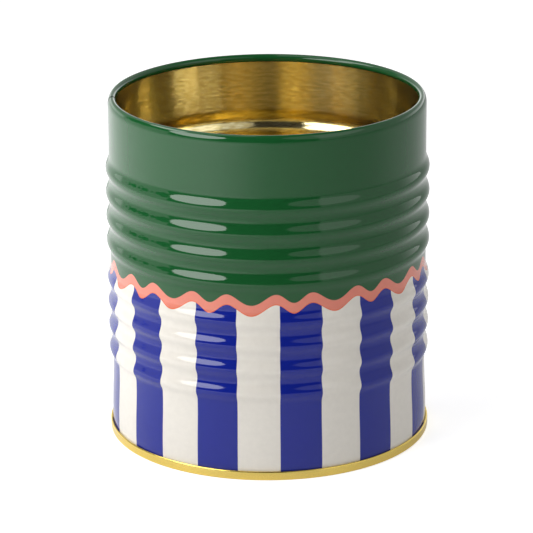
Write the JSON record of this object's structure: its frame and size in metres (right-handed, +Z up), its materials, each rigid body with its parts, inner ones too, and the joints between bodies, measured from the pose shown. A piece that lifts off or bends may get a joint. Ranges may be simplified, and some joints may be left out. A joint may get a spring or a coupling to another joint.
{
  "type": "candle tin",
  "caption": "Open round candle tin: beaded tinplate body with a curled rim and lock seam, and a recessed bottom end double seamed on.",
  "frame": {"origin": "centre of the ring that the tin stands on, in the plane of that ring", "axes": "+Z up along the tin's axis; -Y is the front; the lock seam is 86.2 degrees round from the front towards -X"},
  "size_m": [0.1026, 0.1026, 0.11],
  "materials": {
    "printed_tinplate": "glossy printed enamel outside with green above, a pink wavy band and blue and cream stripes below; gold lacquer inside",
    "gold_tinplate": "glossy gold lacquer over bright tinplate",
    "lining_compound": "matt grey sealing compound"
  },
  "bodies": {
    "root": {"tin_body": "printed_tinplate", "bottom_end": "gold_tinplate", "seam_compound": "lining_compound"}
  },
  "joints": []
}
